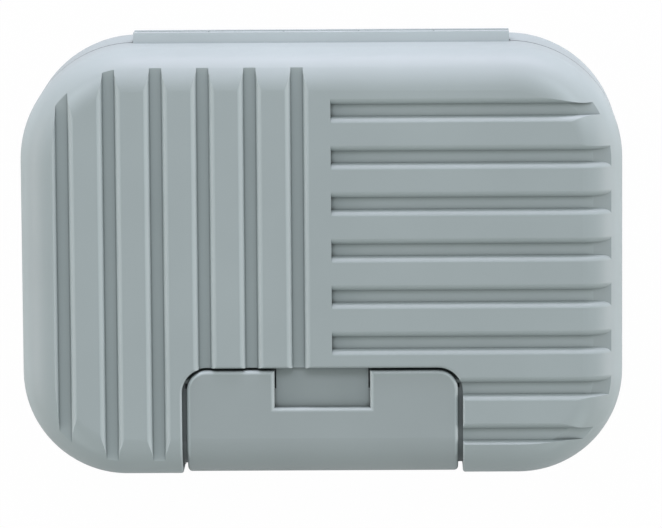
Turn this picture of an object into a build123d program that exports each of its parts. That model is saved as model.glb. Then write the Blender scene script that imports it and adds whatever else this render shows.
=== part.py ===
from build123d import *
import math
import os

# Travel soap box: ribbed lid, base, front latch, pinned back hinge, seal and drain tray.
# The box stands on its base with the ribbed lid face up. X is the long way, the latch faces -Y
# and the hinge faces +Y. The origin is under the middle of the whole part, on the table.

# Body
body_length = 120.0
body_depth = 85.9
lid_height = 18.0
base_height = 22.0
back_corner_radius = 22.5
front_corner_radius = 20.8
lid_edge_radius = 8.2
base_edge_radius = 5.0
wall = 2.4
base_inner_edge_radius = 2.6
underside_recess_depth = 0.8
underside_foot_width = 7.0

# Rim joint between lid and base, with the seal in it
rim_outer_width = 1.2
rim_clearance = 0.2
rim_lip_height = 2.5
rim_edge_round = 0.3
seal_height = 1.0
seal_clearance = 0.05

# Grooves in the lid face
groove_width = 2.4
groove_depth = 1.45
groove_lip_radius = 1.35
groove_lip_rise = 0.01
groove_floor_slope_run = 6.0
groove_floor_slope_drop = 1.6
groove_turn_angle = 60.0
upright_groove_count = 6
upright_groove_pitch = 9.33
upright_groove_first_x = -51.3
cross_groove_count = 8
cross_groove_pitch = 9.3
cross_groove_first_y = 30.85
cross_groove_start_x = 2.0
cross_groove_end_gap = 1.7

# Latch plate, which lies in a channel over the lid's top and front
latch_width = 54.1
latch_length = 21.4
latch_thickness = 1.6
latch_setback = 0.4
latch_corner_radius = 4.0
latch_leg_drop = 9.0
latch_foot_corner_radius = 2.5
latch_side_gap = 0.95
latch_end_gap = 0.5
latch_floor_gap = 0.1
notch_width = 19.0
notch_length = 7.5
latch_edge_round = 0.8
channel_edge_round = 0.5

# Latch pivot, at the latch's inner end
pivot_from_end = 2.3
pivot_below_face = 1.9
barrel_radius = 1.2
trunnion_radius = 0.6
trunnion_reach = 2.2
trunnion_clearance = 0.05
pocket_clearance = 0.3
pocket_roof = 0.8
housing_wall = 1.4

# Snap beads between latch and base
snap_bead_height = 0.33
snap_bead_radius = 0.6
snap_bead_length = 30.0
snap_bead_above_leg_end = 2.2
snap_bead_pitch = 1.5
snap_crest_gap = 0.05
finger_room = 6.0
finger_room_radius = 2.0

# Hinge at the back
hinge_length = 75.3
hinge_strip_thickness = 1.4
hinge_strip_slope_rise = 0.8
hinge_strip_web = 1.0
hinge_axis_out = 0.7
hinge_knuckle_radius = 1.3
hinge_knuckle_count = 5
hinge_knuckle_gap = 0.3
hinge_turn_clearance = 0.15
hinge_relief_clearance = 0.2
hinge_pin_radius = 0.5
hinge_pin_end_recess = 0.8
hinge_pin_hold_clearance = 0.02
hinge_pin_run_clearance = 0.06
lid_open_angle = 110.0
hinge_stop_gap = 0.05
hinge_ledge_height = 3.0

# Drain tray
tray_gap = 0.6
tray_plate = 1.8
tray_foot_height = 5.0
tray_foot_radius = 3.0
tray_foot_inset = 11.0
tray_rim_height = 1.5
tray_rim_width = 1.4
tray_slot_width = 3.0
tray_slot_length = 46.0
tray_slot_pitch = 11.0
tray_slot_count = 8
tray_rib_width = 1.8
tray_rib_height = 1.2
tray_finger_hole_radius = 7.0
tray_edge_round = 0.5

# One overrun serves all cuts
overrun = 5.0

# Places worked out from the sizes
seam_z = base_height
top_z = base_height + lid_height
hinge_proud = hinge_axis_out + hinge_knuckle_radius
body_y = -hinge_proud / 2
front_y = body_y - body_depth / 2
back_y = body_y + body_depth / 2
latch_floor_inset = latch_setback + latch_thickness
channel_inset = latch_floor_inset + latch_floor_gap
channel_width = latch_width + 2 * latch_side_gap
latch_end_y = front_y + latch_setback + latch_length
channel_end_y = latch_end_y + latch_end_gap
leg_end_z = seam_z - latch_leg_drop
base_channel_inset = latch_floor_inset + 2 * snap_bead_height + snap_crest_gap
jog_wall_inset = channel_inset + wall
pivot_y = latch_end_y - pivot_from_end
pivot_z = top_z - latch_setback - pivot_below_face
pocket_radius = pivot_from_end + latch_end_gap
hinge_y = back_y + hinge_axis_out
hinge_z = seam_z - hinge_knuckle_radius - hinge_turn_clearance
lip_top_z = seam_z + rim_lip_height
seal_top_z = lip_top_z + seal_clearance + seal_height


def plan(inset):
    """Rounded plan outline of the box, drawn in by an inset."""
    outline = Rectangle(body_length - 2 * inset, body_depth - 2 * inset)
    outline = fillet(outline.vertices().group_by(Axis.Y)[0], front_corner_radius - inset)
    outline = fillet(outline.vertices().group_by(Axis.Y)[-1], back_corner_radius - inset)
    return Pos(0, body_y) * outline


def stepped_plan(inset, step):
    """Plan outline that steps inward behind the latch channel."""
    step_depth = step + overrun
    step_width = channel_width + 2 * inset
    step_block = Rectangle(step_width, step_depth)
    return plan(inset) - Pos(0, front_y + step - step_depth / 2) * step_block


def block(x_range, y_range, z_range):
    """Box between the given pairs of places."""
    size = [high - low for low, high in (x_range, y_range, z_range)]
    middle = [(high + low) / 2 for low, high in (x_range, y_range, z_range)]
    return Pos(*middle) * Box(*size)


def rod(radius, x_range, y, z):
    """Round bar along X."""
    length = x_range[1] - x_range[0]
    middle = (x_range[1] + x_range[0]) / 2
    return Pos(middle, y, z) * Rot(0, 90, 0) * Cylinder(radius, length)


def lid_core(inset, bottom_z):
    """The lid's outer form, drawn in by an inset, from bottom_z up."""
    core_top = top_z - inset
    core = Pos(0, 0, bottom_z) * extrude(plan(inset), core_top - bottom_z)
    top_edges = core.faces().sort_by(Axis.Z)[-1].edges()
    return fillet(top_edges, lid_edge_radius - inset)


def base_core():
    """The base's outer form, with its rounded bottom edge."""
    core = extrude(plan(0), base_height)
    bottom_edges = core.faces().sort_by(Axis.Z)[0].edges()
    return fillet(bottom_edges, base_edge_radius)


def latch_outline(width, end_y, radius):
    """Top view of the latch or of its channel, running out past the front."""
    length = end_y - front_y + radius + 2 * overrun
    outline = RectangleRounded(width, length, radius)
    return Pos(0, end_y - length / 2) * outline


def channel_cut():
    """The latch channel over the lid, as deep on the top as on the front."""
    radius = latch_corner_radius + latch_side_gap
    outline = latch_outline(channel_width, channel_end_y, radius)
    prism = Pos(0, 0, seam_z - overrun) * extrude(outline, lid_height + 2 * overrun)
    channel = prism - lid_core(channel_inset, seam_z - 2 * overrun)
    form = lid_core(0, seam_z - overrun)
    cut_form = form - channel
    wall_x = channel_width / 2
    rim = []
    for edge in outer_edges(cut_form, form):
        box = edge.bounding_box()
        beside = abs(abs(edge.center().X) - wall_x) < channel_inset
        across = abs(box.max.Y - channel_end_y) < groove_lip_rise
        if box.max.Y < channel_end_y + groove_lip_rise and (beside or across):
            rim.append(edge)
    return channel + (form - cut_form.fillet(channel_edge_round, rim))


def groove_section(floor_z):
    """Section of a groove: straight walls that flare into rounded lips."""
    lip_z = top_z - groove_lip_radius + groove_lip_rise
    mouth = groove_width / 2 + groove_lip_radius
    high_z = top_z + overrun
    trough = Rectangle(groove_width, high_z - floor_z)
    section = Pos(0, (high_z + floor_z) / 2) * trough
    flare = Pos(0, (high_z + lip_z) / 2) * Rectangle(2 * mouth, high_z - lip_z)
    for side in (-1, 1):
        flare -= Pos(side * mouth, lip_z) * Circle(groove_lip_radius)
    return section + flare


def upright_grooves():
    """Six grooves along Y on the left, whose level floors run out at the rounded edge."""
    section = Plane.XZ * groove_section(top_z - groove_depth)
    bar = Pos(0, body_y, 0) * extrude(section, body_depth / 2 + overrun, both=True)
    grooves = []
    for index in range(upright_groove_count):
        grooves.append(Pos(upright_groove_first_x + index * upright_groove_pitch, 0, 0) * bar)
    return grooves


def cross_grooves():
    """Eight grooves along X on the right, which turn down with the edge and run out."""
    turn_x = body_length / 2 - lid_edge_radius
    low_z = top_z - 2 * groove_depth
    section = Pos(cross_groove_start_x, 0, 0) * (Plane.YZ * groove_section(low_z))
    level = extrude(section, turn_x - cross_groove_start_x)
    turn_axis = Axis((turn_x, 0, top_z - lid_edge_radius), (0, 1, 0))
    end_section = Pos(turn_x, 0, 0) * (Plane.YZ * groove_section(low_z))
    turned = revolve(end_section, turn_axis, groove_turn_angle)
    end_plan = Pos(0, 0, seam_z) * extrude(plan(cross_groove_end_gap), lid_height + overrun)
    floor = Pos(0, 0, seam_z - overrun) * extrude(plan(0), lid_height - groove_depth + overrun)
    floor_top = floor.faces().sort_by(Axis.Z)[-1]
    floor = chamfer(
        floor_top.edges(),
        groove_floor_slope_run,
        groove_floor_slope_drop,
        reference=floor_top,
    )
    half = groove_width / 2
    straight = block(
        (cross_groove_start_x, body_length / 2),
        (-half, half),
        (top_z - lid_edge_radius, top_z + overrun),
    )
    grooves = []
    for index in range(cross_groove_count):
        y = body_y + cross_groove_first_y - index * cross_groove_pitch
        grooves.append((Pos(0, y, 0) * (level + turned + straight) & end_plan) - floor)
    return grooves


def outer_edges(cut_form, form):
    """Edges of a cut form that lie on the uncut form's surface."""
    found = []
    for edge in cut_form.edges():
        middle = edge.position_at(0.5)
        probe = Vertex(middle.X, middle.Y, middle.Z)
        if min(face.distance_to(probe) for face in form.faces()) < groove_lip_rise:
            found.append(edge)
    return found


def latch_island():
    """The land round the latch that the grooves stop at."""
    radius = latch_corner_radius + latch_side_gap
    outline = latch_outline(channel_width, channel_end_y, radius)
    return Pos(0, 0, seam_z) * extrude(outline, lid_height + overrun)


def knuckle_spans():
    """X ranges of the hinge knuckles, from left to right."""
    pitch = hinge_length / hinge_knuckle_count
    spans = []
    for index in range(hinge_knuckle_count):
        low = -hinge_length / 2 + index * pitch
        high = low + pitch
        if index > 0:
            low += hinge_knuckle_gap / 2
        if index < hinge_knuckle_count - 1:
            high -= hinge_knuckle_gap / 2
        spans.append((low, high))
    return spans


def pivot_spans(low_x, high_x):
    """The same X range on both sides of the middle."""
    return [(-high_x, -low_x), (low_x, high_x)]


def make_lid():
    """Lid shell with grooves, latch channel, pivot housing and hinge knuckles."""
    lid = lid_core(0, seam_z)
    lid = fillet(lid.faces().sort_by(Axis.Z)[0].edges(), rim_edge_round)

    # Hollow, with the wall kept behind the channel and round the latch pivot
    hollow = lid_core(wall, seam_z - overrun)
    pad_x = channel_width / 2 + wall
    front_pad = block(
        (-pad_x, pad_x),
        (front_y - overrun, front_y + jog_wall_inset),
        (seam_z - 2 * overrun, top_z),
    )
    floor_z = top_z - channel_inset - housing_wall
    flange_pad = block(
        (-pad_x, pad_x),
        (front_y - overrun, channel_end_y + housing_wall),
        (floor_z, top_z),
    )
    pivot_pad = block(
        (-pad_x, pad_x),
        (pivot_y - barrel_radius - pocket_clearance - housing_wall, channel_end_y + housing_wall),
        (pivot_z - pocket_radius - housing_wall, top_z),
    )
    lid -= hollow - front_pad - flange_pad - pivot_pad

    # Step inside the rim for the base's lip and the seal
    rebate = stepped_plan(rim_outer_width, channel_inset + rim_outer_width)
    rebate_height = seal_top_z + seal_clearance - seam_z
    lid -= Pos(0, 0, seam_z - overrun) * extrude(rebate, rebate_height + overrun)
    inner_wall_bottom = seal_top_z + seal_clearance
    lid += (hollow_ring(inner_wall_bottom) & lid_core(0, seam_z))

    # Hinge strip, sloping to the back, with its knuckles below
    lid += hinge_strip()
    for index, span in enumerate(knuckle_spans()):
        if index % 2 == 0:
            lid += rod(hinge_knuckle_radius, span, hinge_y, hinge_z)
            lid += block(
                span,
                (back_y + hinge_relief_clearance, back_y + hinge_proud),
                (hinge_z, seam_z + hinge_strip_web),
            )
    bore_x = (-hinge_length / 2 - overrun, hinge_length / 2 + overrun)
    lid -= rod(hinge_pin_radius + hinge_pin_hold_clearance, bore_x, hinge_y, hinge_z)

    # Grooves stop at the land round the latch
    island = latch_island()
    for groove in upright_grooves() + cross_grooves():
        lid -= groove - island

    # Latch channel, and the pockets that the latch's inner end turns into
    lid -= channel_cut()
    pocket_low = notch_width / 2 - pocket_clearance
    pocket_high = latch_width / 2 + pocket_clearance
    for span in pivot_spans(pocket_low, pocket_high):
        pocket = rod(pocket_radius, span, pivot_y, pivot_z)
        pocket &= block(
            span,
            (pivot_y - barrel_radius - pocket_clearance, channel_end_y),
            (pivot_z - pocket_radius, top_z - pocket_roof),
        )
        lid -= pocket
    hole_end = barrel_end_x() + trunnion_reach + pocket_clearance
    for span in pivot_spans(pocket_high - pocket_clearance, hole_end):
        lid -= rod(trunnion_radius + trunnion_clearance, span, pivot_y, pivot_z)
    return lid


def hinge_strip():
    """Strip along the lid's back edge that carries the lid's knuckles."""
    inner_y = back_y - rim_outer_width / 2
    outer_y = back_y + hinge_proud
    slope = hinge_strip_slope_rise / hinge_proud
    inner_z = seam_z + hinge_strip_thickness + hinge_strip_slope_rise + slope * (back_y - inner_y)
    points = [
        (inner_y, seam_z),
        (outer_y, seam_z),
        (outer_y, seam_z + hinge_strip_thickness),
        (inner_y, inner_z),
    ]
    section = Plane.YZ * make_face(Polyline(*points, close=True))
    return extrude(section, hinge_length / 2, both=True)


def hollow_ring(bottom_z):
    """Inner half of the lid's wall above the seal."""
    height = wall
    outer = stepped_plan(rim_outer_width / 2, channel_inset + rim_outer_width / 2)
    inner = stepped_plan(wall, jog_wall_inset)
    return Pos(0, 0, bottom_z) * extrude(outer - inner, height)


def barrel_end_x():
    """Where the latch's pivot barrel ends, inside its rounded corner."""
    centre_y = latch_end_y - latch_corner_radius
    rise = pivot_y - centre_y
    reach = math.sqrt(latch_corner_radius ** 2 - rise ** 2)
    return latch_width / 2 - latch_corner_radius + reach


def outer_rim(latch):
    """Edges round the latch's outer face, which are the ones a finger meets."""
    form = lid_core(latch_setback, leg_end_z - overrun)
    shared = {}
    for face in latch.faces():
        probe = Vertex(*face.position_at(0.5, 0.5))
        if min(side.distance_to(probe) for side in form.faces()) < snap_crest_gap:
            for edge in face.edges():
                shared.setdefault(tuple(round(value, 3) for value in edge.center()), []).append(edge)
    return [edges[0] for edges in shared.values() if len(edges) == 1]


def make_latch():
    """Latch plate bent over the lid's edge, with its pivot barrel and trunnions."""
    outline = latch_outline(latch_width, latch_end_y, latch_corner_radius)
    prism = Pos(0, 0, leg_end_z - overrun) * extrude(outline, top_z - leg_end_z + 2 * overrun)
    plate = lid_core(latch_setback, leg_end_z) - lid_core(latch_floor_inset, leg_end_z - overrun)
    plate &= prism
    front_face = RectangleRounded(
        latch_width,
        top_z - leg_end_z + overrun,
        latch_foot_corner_radius,
    )
    front_view = Plane.XZ * Pos(0, leg_end_z + (top_z - leg_end_z + overrun) / 2) * front_face
    front_prism = extrude(front_view, body_depth, both=True)
    plate &= front_prism

    barrels = []
    for span in pivot_spans(notch_width / 2, barrel_end_x()):
        barrels.append(rod(barrel_radius, span, pivot_y, pivot_z) & prism)
    latch = plate
    for barrel in barrels:
        latch += barrel
    notch = block(
        (-notch_width / 2, notch_width / 2),
        (latch_end_y - notch_length, latch_end_y + overrun),
        (pivot_z - overrun, top_z + overrun),
    )
    latch -= notch
    latch = latch.fillet(latch_edge_round, outer_rim(latch))
    stub_start = barrel_end_x() - trunnion_reach
    for span in pivot_spans(stub_start, barrel_end_x() + trunnion_reach):
        latch += rod(trunnion_radius, span, pivot_y, pivot_z)

    bead_y = front_y + latch_floor_inset + snap_bead_height - snap_bead_radius
    bead_x = (-snap_bead_length / 2, snap_bead_length / 2)
    bead = rod(snap_bead_radius, bead_x, bead_y, leg_end_z + snap_bead_above_leg_end)
    bead &= block(
        bead_x,
        (front_y + latch_floor_inset - latch_thickness / 2, front_y + base_channel_inset),
        (leg_end_z, seam_z),
    )
    return latch + bead


def make_base():
    """Base shell with lip, latch channel, snap rib, hinge ledge and knuckles."""
    base = base_core()
    base = fillet(base.faces().sort_by(Axis.Z)[-1].edges(), rim_edge_round)
    hollow = Pos(0, 0, wall) * extrude(plan(wall), base_height + overrun)
    floor_edges = hollow.faces().sort_by(Axis.Z)[0].edges()
    hollow = fillet(floor_edges, base_inner_edge_radius)
    pad_x = channel_width / 2 + wall
    front_pad = block(
        (-pad_x, pad_x),
        (front_y - overrun, front_y + jog_wall_inset),
        (-overrun, base_height + 2 * overrun),
    )
    base -= hollow - front_pad

    # Lip inside the lid's rim
    lip_inset = rim_outer_width + rim_clearance
    lip = stepped_plan(lip_inset, channel_inset + lip_inset) - stepped_plan(wall, jog_wall_inset)
    base += Pos(0, 0, seam_z - wall / 2) * extrude(lip, rim_lip_height + wall / 2)

    # Channel for the latch's leg, with room for a fingertip below it
    half = channel_width / 2
    channel = block(
        (-half, half),
        (front_y - overrun, front_y + base_channel_inset),
        (leg_end_z - finger_room, seam_z + overrun),
    )
    low_edges = channel.edges().filter_by(Axis.Y).group_by(Axis.Z)[0]
    channel = fillet(low_edges, finger_room_radius)
    lip_keep = Pos(0, 0, seam_z) * extrude(lip, rim_lip_height + overrun)
    base -= channel - lip_keep

    # Snap rib just above the latch's bead
    rib_x = (-snap_bead_length / 2, snap_bead_length / 2)
    rib_y = front_y + base_channel_inset - snap_bead_height + snap_bead_radius
    rib_z = leg_end_z + snap_bead_above_leg_end + snap_bead_pitch
    rib = rod(snap_bead_radius, rib_x, rib_y, rib_z)
    rib &= block(
        rib_x,
        (front_y + latch_floor_inset, front_y + jog_wall_inset - wall / 2),
        (leg_end_z, seam_z),
    )
    base += rib

    # Hinge ledge whose sloping top stops the open lid
    base += hinge_ledge()
    for index, span in enumerate(knuckle_spans()):
        if index % 2 == 1:
            base += rod(hinge_knuckle_radius, span, hinge_y, hinge_z)
        else:
            relief_radius = hinge_knuckle_radius + hinge_relief_clearance
            relief = rod(relief_radius, widened(span), hinge_y, hinge_z)
            base -= relief
    bore_x = (-hinge_length / 2 - overrun, hinge_length / 2 + overrun)
    base -= rod(hinge_pin_radius + hinge_pin_run_clearance, bore_x, hinge_y, hinge_z)

    # Shallow recess underneath leaves a foot ring
    recess = plan(base_edge_radius + underside_foot_width)
    base -= Pos(0, 0, -overrun) * extrude(recess, overrun + underside_recess_depth)
    return base


def widened(span):
    """A knuckle's X range with its side gap added at both ends."""
    return (span[0] - hinge_knuckle_gap, span[1] + hinge_knuckle_gap)


def hinge_ledge():
    """Ledge below the knuckles; its top meets the lid's hinge strip at full opening."""
    angle = math.radians(lid_open_angle)
    normal_y = math.cos(angle)
    normal_z = -math.sin(angle)
    distance = hinge_knuckle_radius + hinge_stop_gap
    foot_y = hinge_y + normal_y * distance
    foot_z = hinge_z + normal_z * distance
    slope = normal_y / -normal_z
    inner_y = back_y - wall / 2
    outer_y = back_y + hinge_proud
    inner_z = foot_z + (inner_y - foot_y) * slope
    outer_z = foot_z + (outer_y - foot_y) * slope
    low_z = outer_z - hinge_ledge_height
    points = [
        (inner_y, inner_z),
        (outer_y, outer_z),
        (outer_y, (outer_z + low_z) / 2),
        (back_y, low_z),
        (inner_y, low_z),
    ]
    section = Plane.YZ * make_face(Polyline(*points, close=True))
    ledge = extrude(section, hinge_length / 2, both=True)
    clear_radius = hinge_knuckle_radius + hinge_relief_clearance
    clear_x = (-hinge_length, hinge_length)
    return ledge - rod(clear_radius, clear_x, hinge_y, hinge_z)


def make_hinge_pin():
    """Steel pin through all knuckles."""
    half = hinge_length / 2 - hinge_pin_end_recess
    return rod(hinge_pin_radius, (-half, half), hinge_y, hinge_z)


def make_seal():
    """Silicone ring in the lid's rim, above the base's lip."""
    outer_inset = rim_outer_width + seal_clearance
    outer = stepped_plan(outer_inset, channel_inset + outer_inset)
    inner = stepped_plan(wall, jog_wall_inset)
    return Pos(0, 0, lip_top_z + seal_clearance) * extrude(outer - inner, seal_height)


def make_tray():
    """Loose drain tray with slots, soap ribs, rim and four feet."""
    plate_z = wall + tray_foot_height
    outer = stepped_plan(wall + tray_gap, jog_wall_inset + tray_gap)
    rim_inset = wall + tray_gap + tray_rim_width
    inner = stepped_plan(rim_inset, jog_wall_inset + tray_gap + tray_rim_width)
    tray = Pos(0, 0, plate_z) * extrude(outer, tray_plate + tray_rim_height)
    tray -= Pos(0, 0, plate_z + tray_plate) * extrude(inner, tray_rim_height + overrun)

    slot_middle = (tray_slot_count - 1) / 2
    slot_y = body_y
    slot = SlotOverall(tray_slot_length, tray_slot_width, rotation=90)
    for index in range(tray_slot_count):
        x = (index - slot_middle) * tray_slot_pitch
        cut = Pos(x, slot_y, plate_z - overrun) * extrude(slot, tray_plate + 2 * overrun)
        tray -= cut
    for index in range(tray_slot_count + 1):
        x = (index - slot_middle - 0.5) * tray_slot_pitch
        rib = block(
            (x - tray_rib_width / 2, x + tray_rib_width / 2),
            (slot_y - tray_slot_length / 2, slot_y + tray_slot_length / 2),
            (plate_z + tray_plate / 2, plate_z + tray_plate + tray_rib_height),
        )
        tray += rib
    hole = Cylinder(tray_finger_hole_radius, tray_plate + 2 * overrun + tray_rib_height)
    tray -= Pos(0, slot_y, plate_z) * hole
    foot_x = body_length / 2 - wall - tray_foot_inset
    foot_y = body_depth / 2 - wall - tray_foot_inset
    for side_x in (-1, 1):
        for side_y in (-1, 1):
            foot = Cylinder(tray_foot_radius, tray_foot_height + tray_plate / 2)
            foot_mid_z = wall + (tray_foot_height + tray_plate / 2) / 2
            tray += Pos(side_x * foot_x, body_y + side_y * foot_y, foot_mid_z) * foot

    # Rounded tops on the rim and the ribs, and rounded feet
    for height in (wall, plate_z + tray_plate + tray_rib_height, plate_z + tray_plate + tray_rim_height):
        tray = fillet(level_edges(tray, height), tray_edge_round)
    return tray


def level_edges(shape, height):
    """Edges that lie level at a height."""
    found = []
    for edge in shape.edges():
        box = edge.bounding_box()
        if abs(box.min.Z - height) < groove_lip_rise and abs(box.max.Z - height) < groove_lip_rise:
            found.append(edge)
    return found


def save(shape, name):
    """Write one named piece."""
    shape.label = name
    export_step(shape, os.path.join("parts", name + ".step"))


def main():
    """Make every piece and write it."""
    os.makedirs("parts", exist_ok=True)
    pieces = {
        "lid_shell": make_lid(),
        "base_shell": make_base(),
        "latch": make_latch(),
        "hinge_pin": make_hinge_pin(),
        "lid_seal": make_seal(),
        "drain_tray": make_tray(),
    }
    for name, shape in pieces.items():
        save(shape, name)


if __name__ == "__main__":
    main()
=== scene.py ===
"""Travel soap box with a ribbed lid, dressed in its plastics for the catalogue view."""

import logging
import math
from dataclasses import dataclass, field
from enum import Enum
from typing import Callable, Dict, List, Sequence, Tuple, Union

import bmesh
import bpy
from mathutils import Matrix, Vector

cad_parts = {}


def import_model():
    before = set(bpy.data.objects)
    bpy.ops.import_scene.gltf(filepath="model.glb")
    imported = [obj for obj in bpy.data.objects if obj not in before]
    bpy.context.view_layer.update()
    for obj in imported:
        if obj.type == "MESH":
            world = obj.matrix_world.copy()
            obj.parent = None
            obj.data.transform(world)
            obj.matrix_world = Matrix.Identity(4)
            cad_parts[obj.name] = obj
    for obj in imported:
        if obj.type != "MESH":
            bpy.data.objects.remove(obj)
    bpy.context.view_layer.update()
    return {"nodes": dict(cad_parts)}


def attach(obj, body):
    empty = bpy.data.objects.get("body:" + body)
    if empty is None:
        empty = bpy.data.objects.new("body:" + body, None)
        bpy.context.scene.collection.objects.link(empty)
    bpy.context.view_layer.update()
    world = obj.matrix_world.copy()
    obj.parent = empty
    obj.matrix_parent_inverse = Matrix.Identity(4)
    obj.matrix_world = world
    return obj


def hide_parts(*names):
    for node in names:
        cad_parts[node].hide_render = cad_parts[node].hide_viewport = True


Point = Tuple[float, float, float]
Colour = Tuple[float, float, float]
Span = Tuple[float, float]
Socket = bpy.types.NodeSocket
Feed = Union[Socket, float]

WHITE: Colour = (1.0, 1.0, 1.0)
TOUCHING = 1e-6
MIDDLE_X = 0.0
# A normal's share of an axis that it faces, and of one that it is square to.
FACING = 1.0
ACROSS = 0.0
log = logging.getLogger("soap_box")


def linear(red: int, green: int, blue: int) -> Colour:
    """Turn a display colour into the linear one that shaders take.

    Args:
        red: Red from 0 to 255.
        green: Green from 0 to 255.
        blue: Blue from 0 to 255.

    Returns:
        The linear colour.
    """
    straight_up_to, straight_slope = 0.04045, 12.92
    lift, power = 0.055, 2.4
    values = []
    for level in (red, green, blue):
        share = level / 255
        if share <= straight_up_to:
            values.append(share / straight_slope)
        else:
            values.append(((share + lift) / (1 + lift)) ** power)
    return values[0], values[1], values[2]


def dimmed(colour: Colour, level: float) -> Colour:
    """Multiply a colour by a level.

    Args:
        colour: The colour.
        level: The factor, which may be over 1.

    Returns:
        The new colour.
    """
    red, green, blue = colour
    return red * level, green * level, blue * level


class Body(Enum):
    """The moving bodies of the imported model."""

    BASE = "base"
    LID = "lid"
    LATCH = "latch"
    TRAY = "tray"


class Slot(Enum):
    """The material slots of the record."""

    SHELL = "shell_plastic"
    TRAY = "tray_plastic"
    SEAL = "seal_silicone"
    PIN = "pin_steel"


class Element(Enum):
    """What an edit-mode step selects."""

    VERTEX = "VERT"
    FACE = "FACE"


class Reading(Enum):
    """What a mask goes by: one coordinate of the piece's own place or of its normal."""

    PLACE_X = ("Object", "X")
    PLACE_Y = ("Object", "Y")
    PLACE_Z = ("Object", "Z")
    NORMAL_X = ("Normal", "X")
    NORMAL_Y = ("Normal", "Y")
    NORMAL_Z = ("Normal", "Z")


@dataclass(frozen=True)
class Band:
    """A mask that goes by how far a reading is from a middle value.

    The mask is 0 at the distance empty_at, 1 at the distance full_at, and fades between them.
    It is a stripe about the middle where empty_at is the larger, and leaves one out where
    full_at is the larger.
    """

    reading: Reading
    middle: float
    empty_at: float
    full_at: float


@dataclass(frozen=True)
class Retouch:
    """A painted highlight or painted shade: a change of brightness, as a share, where all of its
    bands overlap.
    """

    gain: float
    bands: Tuple[Band, ...]


@dataclass(frozen=True)
class PaintedRecessShade:
    """Painted shade in grooves and gaps: a darkening that goes by how open the surroundings are,
    from 1 in the open to 0.

    The shade is the share of the colour that is lost where openness is full_at or less, and
    walls further off than reach, in metres, don't count.
    """

    shade: float
    reach: float = 0.003
    starts_at: float = 1.0
    full_at: float = 0.3
    samples: int = 8


class NodeGraph:
    """A node tree that is wired up step by step."""

    def __init__(self, tree: bpy.types.NodeTree) -> None:
        """Empty the tree.

        Args:
            tree: The node tree of a material or of the world.
        """
        self.tree = tree
        self.tree.nodes.clear()

    def add(self, kind: str, **settings: object) -> bpy.types.Node:
        """Add a node and set its properties.

        Args:
            kind: The node's type.
            settings: Properties of the node.

        Returns:
            The new node.
        """
        node = self.tree.nodes.new(kind)
        for name, value in settings.items():
            setattr(node, name, value)
        return node

    def feed(self, inlet: Socket, value: Feed) -> None:
        """Wire an output to an input, or set the input to a number.

        Args:
            inlet: The input.
            value: The output or the number.
        """
        if isinstance(value, Socket):
            self.tree.links.new(value, inlet)
        else:
            inlet.default_value = value

    def calculate(self, operation: str, *terms: Feed) -> Socket:
        """Add a math node.

        Args:
            operation: What it does.
            terms: An output or a number for each input in turn.

        Returns:
            Its result.
        """
        node = self.add("ShaderNodeMath", operation=operation)
        for inlet, term in zip(node.inputs, terms):
            self.feed(inlet, term)
        return node.outputs["Value"]

    def glow(self, kind: str, strength: Feed) -> Socket:
        """Add a shader that gives white light.

        Args:
            kind: The node's type, an emission or a background.
            strength: How strong it is.

        Returns:
            Its output.
        """
        node = self.add(kind)
        node.inputs["Color"].default_value = (*WHITE, 1.0)
        self.feed(node.inputs["Strength"], strength)
        return node.outputs[0]

    def mix_shaders(self, share: Socket, first: Socket, second: Socket) -> Socket:
        """Mix two shaders.

        Args:
            share: The share of the second.
            first: The shader at 0.
            second: The shader at 1.

        Returns:
            The mixed shader.
        """
        mixer = self.add("ShaderNodeMixShader")
        for inlet, source in zip(mixer.inputs, (share, first, second)):
            self.feed(inlet, source)
        return mixer.outputs["Shader"]


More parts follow.
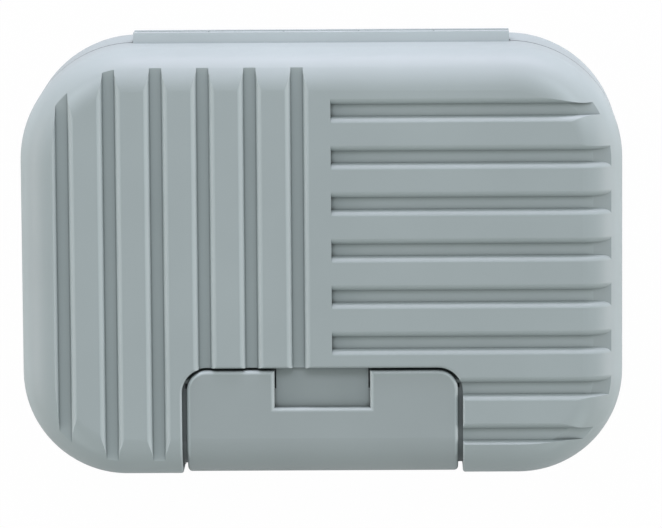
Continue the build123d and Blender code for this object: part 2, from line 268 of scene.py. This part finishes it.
class ShaderGraph(NodeGraph):
    """The node tree of a material with one Principled shader."""

    MIX_FIRST = 6
    MIX_SECOND = 7
    MIX_COLOUR = 2
    NOISE_ENDS: Span = (0.3, 0.7)

    def __init__(self, name: str) -> None:
        """Start the material.

        Args:
            name: The material's name.
        """
        self.material = bpy.data.materials.new(name)
        self.material.use_nodes = True
        super().__init__(self.material.node_tree)
        self.surface = self.add("ShaderNodeOutputMaterial").inputs["Surface"]
        self.shader = self.add("ShaderNodeBsdfPrincipled")
        self.feed(self.surface, self.shader.outputs["BSDF"])
        self.place = self.add("ShaderNodeTexCoord")

    def give(self, values: Dict[str, Feed]) -> None:
        """Feed the shader's inputs.

        Args:
            values: An output or a number for each input, by the input's name.
        """
        for name, value in values.items():
            self.feed(self.shader.inputs[name], value)

    def noise(self, per_metre: float, detail: float, stretch: Point = (1.0, 1.0, 1.0)) -> Socket:
        """Add noise over the piece's own coordinates.

        Args:
            per_metre: Cells per metre.
            detail: Octaves of finer noise.
            stretch: The factor for the coordinates along X, Y and Z.

        Returns:
            The noise.
        """
        mapping = self.add("ShaderNodeMapping")
        mapping.inputs["Scale"].default_value = stretch
        self.feed(mapping.inputs["Vector"], self.place.outputs["Object"])
        node = self.add("ShaderNodeTexNoise")
        self.feed(node.inputs["Scale"], per_metre)
        self.feed(node.inputs["Detail"], detail)
        self.feed(node.inputs["Vector"], mapping.outputs["Vector"])
        return node.outputs["Fac"]

    def remap(
        self, source: Socket, ends: Span, to: Span = (0.0, 1.0), **settings: object
    ) -> Socket:
        """Map one range of numbers on to another and stop at its ends.

        Args:
            source: The output that gives the number.
            ends: The two ends of the range that it is in.
            to: What they become.
            settings: Properties of the node.

        Returns:
            The new number.
        """
        node = self.add("ShaderNodeMapRange", **settings)
        for name, value in zip(("From Min", "From Max", "To Min", "To Max"), (*ends, *to)):
            self.feed(node.inputs[name], value)
        self.feed(node.inputs["Value"], source)
        return node.outputs["Result"]

    def blend(self, noise: Socket, first: Colour, second: Colour) -> Socket:
        """Mix two colours by a noise.

        Args:
            noise: The noise.
            first: The colour at its low end.
            second: The colour at its high end.

        Returns:
            The mixed colour.
        """
        node = self.add("ShaderNodeMix", data_type="RGBA")
        self.feed(node.inputs[0], self.remap(noise, self.NOISE_ENDS))
        node.inputs[self.MIX_FIRST].default_value = (*first, 1.0)
        node.inputs[self.MIX_SECOND].default_value = (*second, 1.0)
        return node.outputs[self.MIX_COLOUR]

    def dull(self, noise: Socket, ends: Span) -> None:
        """Vary the shader's roughness with a noise.

        Args:
            noise: The noise.
            ends: The roughness at its low and at its high end.
        """
        self.give({"Roughness": self.remap(noise, self.NOISE_ENDS, ends)})

    def scale_colour(self, tint: Socket, share: Socket, level: float) -> Socket:
        """Multiply a colour by a level where a share is 1.

        Args:
            tint: The colour.
            share: How much of the change there is.
            level: The factor at a share of 1.

        Returns:
            The new colour.
        """
        node = self.add(
            "ShaderNodeMix", data_type="RGBA", blend_type="MULTIPLY", clamp_result=False
        )
        self.feed(node.inputs[0], share)
        self.feed(node.inputs[self.MIX_FIRST], tint)
        node.inputs[self.MIX_SECOND].default_value = (level, level, level, 1.0)
        return node.outputs[self.MIX_COLOUR]

    def mask(self, bands: Sequence[Band]) -> Socket:
        """Draw the overlap of some bands.

        Args:
            bands: The bands.

        Returns:
            The mask, 1 where every band is full.
        """
        overlap = None
        for band in bands:
            space, axis = band.reading.value
            parts = self.add("ShaderNodeSeparateXYZ")
            self.feed(parts.inputs["Vector"], self.place.outputs[space])
            offset = self.calculate("SUBTRACT", parts.outputs[axis], band.middle)
            distance = self.calculate("ABSOLUTE", offset)
            ends = (band.empty_at, band.full_at)
            fade = self.remap(distance, ends, interpolation_type="SMOOTHSTEP")
            overlap = fade if overlap is None else self.calculate("MULTIPLY", overlap, fade)
        return overlap

    def retouch(self, tint: Socket, change: Retouch) -> Socket:
        """Paint a highlight or shade into a colour at some places.

        Args:
            tint: The colour.
            change: The places and the change.

        Returns:
            The new colour.
        """
        return self.scale_colour(tint, self.mask(change.bands), 1.0 + change.gain)

    def paint_recess_shade(self, tint: Socket, recess: PaintedRecessShade) -> Socket:
        """Paint shade into a colour where walls stand close.

        Args:
            tint: The colour.
            recess: How close, and how dark.

        Returns:
            The new colour.
        """
        around = self.add("ShaderNodeAmbientOcclusion", samples=recess.samples)
        self.feed(around.inputs["Distance"], recess.reach)
        share = self.remap(around.outputs["AO"], (recess.starts_at, recess.full_at))
        return self.scale_colour(tint, share, 1.0 - recess.shade)

    def relief(self, layers: Sequence[Tuple[Socket, float, float]]) -> None:
        """Stack bump layers and feed them to the shader's normal.

        Args:
            layers: Height, strength and depth in metres of each layer, coarse first.
        """
        normal = None
        for height, strength, depth in layers:
            bump = self.add("ShaderNodeBump")
            self.feed(bump.inputs["Strength"], strength)
            self.feed(bump.inputs["Distance"], depth)
            self.feed(bump.inputs["Height"], height)
            if normal is not None:
                self.feed(bump.inputs["Normal"], normal)
            normal = bump.outputs["Normal"]
        self.give({"Normal": normal})


@dataclass(frozen=True)
class PaintedLightPlaces:
    """Where painted highlights and painted shade make the box's plastic paler or darker.

    Places are in metres in the shared frame. The normals' limits are shares of 1.
    """

    lid_top: float = 0.04
    flat_half_length: float = 0.0505
    flat_end_fade: float = 0.004
    flat_rim_fade: float = 0.0007
    channel_floor_z: float = 0.0379
    groove_end_z: float = 0.0375
    groove_end_lean: float = 0.2577
    seam_z: float = 0.022
    seam_half_width: float = 0.0007
    wall_middle_y: float = -0.001
    wall_half_depth: float = 0.04305
    wall_fade: float = 0.0003

    def flat(self, above: float) -> Tuple[Band, ...]:
        """The ribbed top without the steep part of its rounded rim.

        Args:
            above: The height from which the top counts.

        Returns:
            The bands.
        """
        length, drop = self.flat_half_length, self.lid_top - above
        return (
            Band(Reading.PLACE_X, MIDDLE_X, empty_at=length + self.flat_end_fade, full_at=length),
            Band(Reading.PLACE_Z, self.lid_top, empty_at=drop + self.flat_rim_fade, full_at=drop),
            Band(Reading.NORMAL_Z, FACING, empty_at=0.75, full_at=0.35),
        )

    def side_lip_highlights(self, gain: float, above: float) -> Retouch:
        """Painted highlight on lips that lean left or right.

        Args:
            gain: How much paler.
            above: The height from which the top counts.

        Returns:
            The retouch.
        """
        leaning = Band(Reading.NORMAL_X, ACROSS, empty_at=0.04, full_at=0.3)
        return Retouch(gain, (*self.flat(above), leaning))

    def rear_lip_highlights(self, gain: float, above: float) -> Retouch:
        """Painted highlight on lips that lean to the hinge side.

        Args:
            gain: How much paler.
            above: The height from which the top counts.

        Returns:
            The retouch.
        """
        rearward = Band(Reading.NORMAL_Y, FACING, empty_at=0.96, full_at=0.6)
        return Retouch(gain, (*self.flat(above), rearward))

    def ends(self, gain: float) -> Retouch:
        """Painted highlight on the steep part of both ends' rounding.

        Args:
            gain: How much paler.

        Returns:
            The retouch.
        """
        # Painted highlight: steep faces that face the ends are made paler.
        steep = Band(Reading.NORMAL_Z, ACROSS, empty_at=0.8, full_at=0.5)
        endward = Band(Reading.NORMAL_X, ACROSS, empty_at=0.6, full_at=0.9)
        return Retouch(gain, (steep, endward))

    def channel_floor_shade(self, shade: float) -> Retouch:
        """Painted shade on the level floor of the latch's channel.

        Args:
            shade: How much darker.

        Returns:
            The retouch.
        """
        near = Band(Reading.PLACE_Z, self.channel_floor_z, empty_at=0.0004, full_at=0.0002)
        level = Band(Reading.NORMAL_Z, FACING, empty_at=0.02, full_at=0.005)
        return Retouch(-shade, (near, level))

    def groove_end_shade(self, shade: float) -> Retouch:
        """Painted shade on the sloping ends of the grooves on the right, as dark as the rest of
        their floors.

        Args:
            shade: How much darker.

        Returns:
            The retouch.
        """
        rise = math.sqrt(1 - self.groove_end_lean**2)
        low = Band(Reading.PLACE_Z, self.groove_end_z, empty_at=0.0012, full_at=0.00105)
        rightward = Band(Reading.NORMAL_X, self.groove_end_lean, empty_at=0.06, full_at=0.03)
        sloping = Band(Reading.NORMAL_Z, rise, empty_at=0.03, full_at=0.015)
        return Retouch(-shade, (low, rightward, sloping))

    def seam(self, shade: float) -> Retouch:
        """Painted shadow on the rounded lips on both sides of the seam.

        Args:
            shade: How much darker.

        Returns:
            The retouch.
        """
        width, depth = self.seam_half_width, self.wall_half_depth
        near = Band(Reading.PLACE_Z, self.seam_z, empty_at=width, full_at=width / 2)
        upright = Band(Reading.NORMAL_Z, ACROSS, empty_at=0.995, full_at=0.93)
        wall = Band(
            Reading.PLACE_Y, self.wall_middle_y, empty_at=depth + self.wall_fade, full_at=depth
        )
        return Retouch(-shade, (near, upright, wall))


@dataclass(frozen=True)
class MouldedPlastic:
    """Satin plastic from a spark-eroded mould: fine grain, faint flow clouds."""

    name: str
    colour: Colour
    recesses: Tuple[PaintedRecessShade, ...] = ()
    retouches: Tuple[Retouch, ...] = ()
    shade_spread: float = 0.03
    cloud_per_metre: float = 38.0
    grain_per_metre: float = 3600.0
    grain_depth: float = 0.00003
    grain_strength: float = 0.16
    wave_per_metre: float = 90.0
    wave_depth: float = 0.00012
    wave_strength: float = 0.05
    roughness: Span = (0.46, 0.56)
    specular: float = 0.4
    refraction: float = 1.49

    def build(self) -> bpy.types.Material:
        """Wire the finish up.

        Returns:
            The material.
        """
        graph = ShaderGraph(self.name)
        dark = dimmed(self.colour, 1 - self.shade_spread)
        light = dimmed(self.colour, 1 + self.shade_spread)
        tint = graph.blend(graph.noise(self.cloud_per_metre, detail=3.0), dark, light)
        # Painted shade in grooves and gaps, then painted highlights and painted shade at the
        # retouches' places.
        for recess in self.recesses:
            tint = graph.paint_recess_shade(tint, recess)
        for change in self.retouches:
            tint = graph.retouch(tint, change)
        grain = graph.noise(self.grain_per_metre, detail=2.0)
        graph.dull(grain, self.roughness)
        waves = graph.noise(self.wave_per_metre, detail=1.0)
        graph.relief(
            [
                (waves, self.wave_strength, self.wave_depth),
                (grain, self.grain_strength, self.grain_depth),
            ]
        )
        graph.give(
            {
                "Base Color": tint,
                "Specular IOR Level": self.specular,
                "IOR": self.refraction,
            }
        )
        return graph.material


@dataclass(frozen=True)
class SoftSilicone:
    """Milky sealing silicone with a faint bloom."""

    name: str
    colour: Colour
    bloom_per_metre: float = 240.0
    bloom_level: float = 0.93
    skin_per_metre: float = 2500.0
    skin_strength: float = 0.1
    skin_depth: float = 0.00002
    roughness: Span = (0.38, 0.5)
    milkiness: float = 0.2
    milk_depth: float = 0.001
    refraction: float = 1.41

    def build(self) -> bpy.types.Material:
        """Wire the finish up.

        Returns:
            The material.
        """
        graph = ShaderGraph(self.name)
        bloom = graph.noise(self.bloom_per_metre, detail=3.0)
        tint = graph.blend(bloom, dimmed(self.colour, self.bloom_level), self.colour)
        graph.dull(bloom, self.roughness)
        skin = graph.noise(self.skin_per_metre, detail=2.0)
        graph.relief([(skin, self.skin_strength, self.skin_depth)])
        graph.give(
            {
                "Base Color": tint,
                "Subsurface Weight": self.milkiness,
                "Subsurface Scale": self.milk_depth,
                "IOR": self.refraction,
            }
        )
        return graph.material


@dataclass(frozen=True)
class DrawnSteel:
    """Bright wire with drawing lines along its length."""

    name: str
    colour: Colour
    line_per_metre: float = 6000.0
    line_stretch: Point = (0.02, 1.0, 1.0)
    line_level: float = 0.86
    line_strength: float = 0.15
    line_depth: float = 0.00001
    roughness: Span = (0.22, 0.38)

    def build(self) -> bpy.types.Material:
        """Wire the finish up.

        Returns:
            The material.
        """
        graph = ShaderGraph(self.name)
        lines = graph.noise(self.line_per_metre, detail=2.0, stretch=self.line_stretch)
        tint = graph.blend(lines, dimmed(self.colour, self.line_level), self.colour)
        graph.dull(lines, self.roughness)
        graph.relief([(lines, self.line_strength, self.line_depth)])
        graph.give({"Base Color": tint, "Metallic": 1.0})
        return graph.material


@dataclass(frozen=True)
class PaleFloor:
    """White table top that shows white to the camera and keeps a faint shadow."""

    name: str = "pale_floor"
    own_light: float = 0.985
    colour: Colour = (0.7, 0.7, 0.7)
    speckle_per_metre: float = 900.0
    speckle_level: float = 0.985
    roughness: float = 0.8

    def build(self) -> bpy.types.Material:
        """Wire the finish up.

        Returns:
            The material.
        """
        graph = ShaderGraph(self.name)
        speckle = graph.noise(self.speckle_per_metre, detail=2.0)
        tint = graph.blend(speckle, dimmed(self.colour, self.speckle_level), self.colour)
        graph.give({"Base Color": tint, "Roughness": self.roughness})
        rays = graph.add("ShaderNodeLightPath").outputs
        looking = graph.calculate("MAXIMUM", rays["Is Camera Ray"], rays["Is Transmission Ray"])
        share = graph.calculate("MULTIPLY", looking, self.own_light)
        glow = graph.glow("ShaderNodeEmission", 1.0)
        graph.feed(graph.surface, graph.mix_shaders(share, graph.shader.outputs["BSDF"], glow))
        return graph.material


PAINTED_LIGHT_PLACES = PaintedLightPlaces()
GAP_PAINTED_SHADE = PaintedRecessShade(shade=0.6, reach=0.0012, starts_at=0.75, full_at=0.25)
SAGE = linear(149, 163, 162)
SHELL_TOP_FROM = 0.0394
LATCH_TOP_FROM = 0.039


@dataclass
class FinishSet:
    """The finishes of the whole box, each made once."""

    shell: MouldedPlastic = MouldedPlastic(
        "sage_shell_plastic",
        SAGE,
        # Painted shade in recesses and gaps; painted highlights on lips and ends; painted shade
        # on channel floor, groove ends and seam.
        recesses=(PaintedRecessShade(shade=0.23), GAP_PAINTED_SHADE),
        retouches=(
            PAINTED_LIGHT_PLACES.side_lip_highlights(gain=0.13, above=SHELL_TOP_FROM),
            PAINTED_LIGHT_PLACES.ends(gain=0.12),
            PAINTED_LIGHT_PLACES.channel_floor_shade(shade=0.17),
            PAINTED_LIGHT_PLACES.groove_end_shade(shade=0.13),
            PAINTED_LIGHT_PLACES.seam(shade=0.75),
        ),
    )
    latch: MouldedPlastic = MouldedPlastic(
        "sage_latch_plastic",
        linear(143, 156, 155),
        # Painted shade in recesses and gaps, and painted highlights on the latch's lips.
        recesses=(PaintedRecessShade(shade=0.2), GAP_PAINTED_SHADE),
        retouches=(
            PAINTED_LIGHT_PLACES.side_lip_highlights(gain=0.3, above=LATCH_TOP_FROM),
            PAINTED_LIGHT_PLACES.rear_lip_highlights(gain=0.25, above=LATCH_TOP_FROM),
        ),
    )
    tray: MouldedPlastic = MouldedPlastic("sage_tray_plastic", SAGE)
    silicone: SoftSilicone = SoftSilicone("milky_seal_silicone", linear(219, 222, 219))
    steel: DrawnSteel = DrawnSteel("drawn_pin_steel", linear(190, 190, 190))
    made: Dict[str, bpy.types.Material] = field(default_factory=dict)

    def material(self, slot: Slot, body: Body) -> bpy.types.Material:
        """The material for a slot of the record.

        Args:
            slot: The record's slot.
            body: The body that wears it, as the latch is a moulding of its own.

        Returns:
            The material, made at its first use.
        """
        finish = {
            Slot.SHELL: self.latch if body is Body.LATCH else self.shell,
            Slot.TRAY: self.tray,
            Slot.SEAL: self.silicone,
            Slot.PIN: self.steel,
        }[slot]
        if finish.name not in self.made:
            self.made[finish.name] = finish.build()
        return self.made[finish.name]


class Bench:
    """Steps that the modelled pieces share."""

    SHARP_FROM = math.radians(60.0)
    SMOOTH_BELOW = math.radians(40.0)
    EDGE_FACES = 4
    ROUND = 0.5

    @staticmethod
    def clear() -> None:
        """Deselect every object."""
        bpy.ops.object.select_all(action="DESELECT")

    @staticmethod
    def start(name: str, scale: Point = (1.0, 1.0, 1.0)) -> bpy.types.Object:
        """Name the object just added, apply its place and open it for editing.

        Args:
            name: The piece's name.
            scale: The factor along X, Y and Z.

        Returns:
            The piece, in edit mode.
        """
        piece = bpy.context.object
        piece.name = name
        piece.data.name = name
        piece.scale = scale
        bpy.ops.object.transform_apply(location=True, rotation=True, scale=True)
        bpy.ops.object.mode_set(mode="EDIT")
        return piece

    @staticmethod
    def pick(piece: bpy.types.Object, kind: Element, test: Callable[[Vector], bool]) -> None:
        """Select the vertices or faces whose middle passes a test.

        Args:
            piece: The piece in edit mode.
            kind: What is selected.
            test: What the middle has to pass.
        """
        bpy.ops.mesh.select_mode(type=kind.value)
        bpy.ops.mesh.select_all(action="DESELECT")
        mesh = bmesh.from_edit_mesh(piece.data)
        if kind is Element.VERTEX:
            middles = [(vertex, vertex.co) for vertex in mesh.verts]
        else:
            middles = [(face, face.calc_center_median()) for face in mesh.faces]
        for element, middle in middles:
            if test(middle):
                element.select_set(True)
        mesh.select_flush_mode()
        bmesh.update_edit_mesh(piece.data)

    @staticmethod
    def soften(width: float) -> None:
        """Round the sharp edges of the piece in edit mode.

        Args:
            width: Width of the rounding in metres.
        """
        bpy.ops.mesh.select_mode(type="EDGE")
        bpy.ops.mesh.select_all(action="DESELECT")
        bpy.ops.mesh.edges_select_sharp(sharpness=Bench.SHARP_FROM)
        bpy.ops.mesh.bevel(
            offset=width,
            offset_type="OFFSET",
            segments=Bench.EDGE_FACES,
            profile=Bench.ROUND,
            affect="EDGES",
        )

    @staticmethod
    def finish(piece: bpy.types.Object, finishes: FinishSet, body: Body, slot: Slot) -> None:
        """Close the edit, smooth the piece, dress it and let it ride.

        Args:
            piece: The piece in edit mode.
            finishes: The box's finishes.
            body: The body that it moves with.
            slot: The record's slot of its finish.
        """
        bpy.ops.mesh.select_all(action="SELECT")
        bpy.ops.mesh.remove_doubles(threshold=TOUCHING)
        bpy.ops.mesh.normals_make_consistent(inside=False)
        bpy.ops.object.mode_set(mode="OBJECT")
        bpy.ops.object.shade_smooth_by_angle(angle=Bench.SMOOTH_BELOW)
        piece.data.materials.clear()
        piece.data.materials.append(finishes.material(slot, body))
        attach(piece, body.value)
        Bench.clear()
        faces = len(piece.data.polygons)
        log.info("%s has %d faces and rides on %s", piece.name, faces, body.value)


@dataclass
class RimSeal:
    """Silicone ring in the lid's rim, which steps inward behind the latch."""

    half_length: float = 0.05875
    half_depth: float = 0.0417
    middle_y: float = -0.001
    back_corner_radius: float = 0.02125
    front_corner_radius: float = 0.01955
    corner_faces: int = 20
    step_half_width: float = 0.02925
    step_y: float = -0.0406
    straight_within: float = math.radians(1.0)
    thickness: float = 0.00115
    low_z: float = 0.02455
    height: float = 0.001
    bead_round: float = 0.00035

    def build(self, finishes: FinishSet) -> bpy.types.Object:
        """Model the ring from a flat outline.

        Args:
            finishes: The box's finishes.

        Returns:
            The ring.
        """
        Bench.clear()
        bpy.ops.mesh.primitive_plane_add(size=1.0, location=(0.0, self.middle_y, self.low_z))
        ring = Bench.start("rim_seal_ring", (2 * self.half_length, 2 * self.half_depth, 1.0))
        self.cut_step(ring)
        self.round_corners(ring)
        bpy.ops.mesh.select_mode(type="FACE")
        bpy.ops.mesh.select_all(action="SELECT")
        bpy.ops.mesh.inset(thickness=self.thickness, depth=0.0)
        bpy.ops.mesh.delete(type="FACE")
        bpy.ops.mesh.select_all(action="SELECT")
        rise = (0.0, 0.0, self.height)
        bpy.ops.mesh.extrude_region_move(TRANSFORM_OT_translate={"value": rise})
        bpy.ops.mesh.select_all(action="SELECT")
        bpy.ops.mesh.normals_make_consistent(inside=False)
        Bench.soften(self.bead_round)
        Bench.finish(ring, finishes, Body.LID, Slot.SEAL)
        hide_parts("lid_seal")
        return ring

    def cut_step(self, ring: bpy.types.Object) -> None:
        """Take the latch's step out of the outline's front.

        Args:
            ring: The flat outline in edit mode.
        """
        for place, across in (
            ((-self.step_half_width, 0.0, 0.0), (1.0, 0.0, 0.0)),
            ((self.step_half_width, 0.0, 0.0), (1.0, 0.0, 0.0)),
            ((0.0, self.step_y, 0.0), (0.0, 1.0, 0.0)),
        ):
            bpy.ops.mesh.select_all(action="SELECT")
            bpy.ops.mesh.bisect(plane_co=place, plane_no=across)
        Bench.pick(ring, Element.FACE, self.is_in_step)
        bpy.ops.mesh.delete(type="FACE")
        bpy.ops.mesh.select_all(action="SELECT")
        bpy.ops.mesh.dissolve_limited(angle_limit=self.straight_within)

    def round_corners(self, ring: bpy.types.Object) -> None:
        """Round the plan's four corners.

        Args:
            ring: The flat outline in edit mode.
        """
        for is_corner, radius in (
            (self.is_back_corner, self.back_corner_radius),
            (self.is_front_corner, self.front_corner_radius),
        ):
            Bench.pick(ring, Element.VERTEX, is_corner)
            bpy.ops.mesh.bevel(
                offset=radius,
                segments=self.corner_faces,
                profile=Bench.ROUND,
                affect="VERTICES",
            )

    def is_in_step(self, at: Vector) -> bool:
        """Tell whether a point is in the latch's step.

        Args:
            at: The point.

        Returns:
            Whether it is.
        """
        return at.y < self.step_y and abs(at.x) < self.step_half_width

    def is_back_corner(self, at: Vector) -> bool:
        """Tell whether a point is a corner on the hinge side.

        Args:
            at: The point.

        Returns:
            Whether it is.
        """
        return self.is_at_end(at) and at.y - self.middle_y > self.half_depth - TOUCHING

    def is_front_corner(self, at: Vector) -> bool:
        """Tell whether a point is a corner on the latch side.

        Args:
            at: The point.

        Returns:
            Whether it is.
        """
        return self.is_at_end(at) and self.middle_y - at.y > self.half_depth - TOUCHING

    def is_at_end(self, at: Vector) -> bool:
        """Tell whether a point is on the left or right end of the plan.

        Args:
            at: The point.

        Returns:
            Whether it is.
        """
        return abs(at.x) > self.half_length - TOUCHING


@dataclass
class HingePin:
    """Drawn wire pin through the knuckles, cropped and rounded at both ends."""

    radius: float = 0.0005
    length: float = 0.0737
    place: Point = (0.0, 0.04265, 0.02055)
    sides: int = 48
    end_round: float = 0.00014
    crop_inset: float = 0.00012
    crop_depth: float = 0.00004

    def build(self, finishes: FinishSet) -> bpy.types.Object:
        """Model the pin from a cylinder.

        Args:
            finishes: The box's finishes.

        Returns:
            The pin.
        """
        Bench.clear()
        bpy.ops.mesh.primitive_cylinder_add(
            vertices=self.sides,
            radius=self.radius,
            depth=self.length,
            location=self.place,
            rotation=(0.0, math.pi / 2, 0.0),
        )
        pin = Bench.start("hinge_wire_pin")
        Bench.soften(self.end_round)
        end = self.length / 2 - TOUCHING
        for is_end in (lambda at: at.x < -end, lambda at: at.x > end):
            Bench.pick(pin, Element.FACE, is_end)
            bpy.ops.mesh.inset(thickness=self.crop_inset, depth=-self.crop_depth)
        Bench.finish(pin, finishes, Body.LID, Slot.PIN)
        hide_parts("hinge_pin")
        return pin


@dataclass
class CarriedNodes:
    """CAD nodes whose shape stays, with their finish."""

    finishes: FinishSet
    wearers: Dict[str, Tuple[Slot, Body]] = field(
        default_factory=lambda: {
            "lid_shell": (Slot.SHELL, Body.LID),
            "base_shell": (Slot.SHELL, Body.BASE),
            "latch": (Slot.SHELL, Body.LATCH),
            "drain_tray": (Slot.TRAY, Body.TRAY),
        }
    )

    def dress(self, nodes: Dict[str, bpy.types.Object]) -> None:
        """Put each node's finish in its material slots.

        Args:
            nodes: The loaded CAD nodes by name.
        """
        for name, (slot, body) in self.wearers.items():
            material = self.finishes.material(slot, body)
            for holder in nodes[name].material_slots:
                holder.material = material
            log.info("%s wears %s", name, material.name)


@dataclass
class SoftLamp:
    """One soft box, aimed at the middle of the soap box.

    Angles are in degrees and sizes in metres.
    """

    name: str
    azimuth: float
    elevation: float
    distance: float
    size: Span
    watts: float
    colour: Colour

    def build(self, target: Vector) -> bpy.types.Object:
        """Hang the lamp.

        Args:
            target: The point that it is aimed at.

        Returns:
            The lamp.
        """
        turn = math.radians(self.azimuth)
        rise = math.radians(self.elevation)
        level = math.cos(rise)
        away = Vector((level * math.cos(turn), level * math.sin(turn), math.sin(rise)))
        data = bpy.data.lights.new(self.name, "AREA")
        data.shape = "RECTANGLE"
        data.size, data.size_y = self.size
        data.energy = self.watts
        data.color = self.colour
        lamp = bpy.data.objects.new(self.name, data)
        lamp.location = target + away * self.distance
        lamp.rotation_euler = (-away).to_track_quat("-Z", "Y").to_euler()
        bpy.context.scene.collection.objects.link(lamp)
        return lamp


@dataclass
class CatalogueCamera:
    """Long lens above the lid, leaning a little to the hinge side and to the right.

    Angles are in degrees, the lens and the sensor in millimetres, the rest in metres.
    """

    target: Point = (0.00192, -0.00068, 0.040)
    distance: float = 1.072
    lean_back: float = 7.83
    lean_right: float = 0.8
    roll: float = -0.4
    lens: float = 293.8
    sensor: float = 36.0
    clip: Span = (0.01, 20.0)

    def build(self) -> bpy.types.Object:
        """Set the camera up and make it the scene's.

        Returns:
            The camera.
        """
        leans = [math.tan(math.radians(lean)) for lean in (self.lean_right, self.lean_back)]
        away = Vector((*leans, 1.0)).normalized()
        right = Vector((0.0, 1.0, 0.0)).cross(away).normalized()
        up = away.cross(right)
        turn = Matrix.Rotation(math.radians(self.roll), 3, away)
        axes = Matrix((turn @ right, turn @ up, away)).transposed()
        data = bpy.data.cameras.new("catalogue_camera")
        data.lens = self.lens
        data.sensor_width = self.sensor
        data.clip_start, data.clip_end = self.clip
        camera = bpy.data.objects.new("catalogue_camera", data)
        place = Matrix.Translation(Vector(self.target) + away * self.distance)
        camera.matrix_world = place @ axes.to_4x4()
        bpy.context.scene.collection.objects.link(camera)
        bpy.context.scene.camera = camera
        return camera


LILAC: Colour = (0.94, 0.85, 1.0)
PALE_LILAC: Colour = (0.93, 0.88, 1.0)
ROSE: Colour = (1.0, 0.9, 0.93)
DEEP_ROSE: Colour = (1.0, 0.88, 0.9)


@dataclass
class Studio:
    """Floor, soft light and camera."""

    aim: Point = (0.0, 0.0, 0.03)
    floor_side: float = 6.0
    daylight: float = 0.64
    hinge_side_lead: float = 0.3
    lamps: List[SoftLamp] = field(
        default_factory=lambda: [
            SoftLamp(
                "hinge_side_low_strip", azimuth=85.0, elevation=5.0, distance=1.2,
                size=(1.0, 0.16), watts=14.4, colour=LILAC,
            ),
            SoftLamp(
                "hinge_side_softbox", azimuth=92.0, elevation=45.0, distance=1.2,
                size=(1.0, 0.35), watts=3.7, colour=LILAC,
            ),
            SoftLamp(
                "right_side_softbox", azimuth=-5.0, elevation=9.0, distance=1.3,
                size=(0.8, 0.3), watts=8.0, colour=ROSE,
            ),
            SoftLamp(
                "left_side_softbox", azimuth=183.0, elevation=12.0, distance=1.3,
                size=(0.8, 0.35), watts=6.6, colour=DEEP_ROSE,
            ),
            SoftLamp(
                "latch_side_softbox", azimuth=270.0, elevation=52.0, distance=1.3,
                size=(0.9, 0.4), watts=1.3, colour=PALE_LILAC,
            ),
        ]
    )
    camera: CatalogueCamera = field(default_factory=CatalogueCamera)

    def build(self) -> None:
        """Lay the floor, light it and set the camera up."""
        Bench.clear()
        bpy.ops.mesh.primitive_plane_add(size=self.floor_side, location=(0.0, 0.0, 0.0))
        floor = bpy.context.object
        floor.name = "studio_floor"
        floor.data.materials.append(PaleFloor().build())
        self.light_world()
        for lamp in self.lamps:
            lamp.build(Vector(self.aim))
        self.camera.build()

    def light_world(self) -> None:
        """Give the world a soft light, stronger from the hinge side, and a white look."""
        world = bpy.data.worlds.new("studio_daylight")
        bpy.context.scene.world = world
        world.use_nodes = True
        graph = NodeGraph(world.node_tree)
        parts = graph.add("ShaderNodeSeparateXYZ")
        graph.feed(parts.inputs["Vector"], graph.add("ShaderNodeTexCoord").outputs["Generated"])
        lead = self.daylight * self.hinge_side_lead
        strength = graph.calculate("MULTIPLY_ADD", parts.outputs["Y"], lead, self.daylight)
        lit = graph.glow("ShaderNodeBackground", strength)
        seen = graph.glow("ShaderNodeBackground", 1.0)
        looking = graph.add("ShaderNodeLightPath").outputs["Is Camera Ray"]
        surface = graph.add("ShaderNodeOutputWorld").inputs["Surface"]
        graph.feed(surface, graph.mix_shaders(looking, lit, seen))


def main() -> None:
    """Build the dressed soap box and its studio."""
    logging.basicConfig(level=logging.INFO, format="%(message)s")
    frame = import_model()
    Bench.clear()
    bpy.context.scene.view_settings.view_transform = "Standard"
    finishes = FinishSet()
    CarriedNodes(finishes).dress(frame["nodes"])
    RimSeal().build(finishes)
    HingePin().build(finishes)
    Studio().build()


if __name__ == "__main__":
    main()
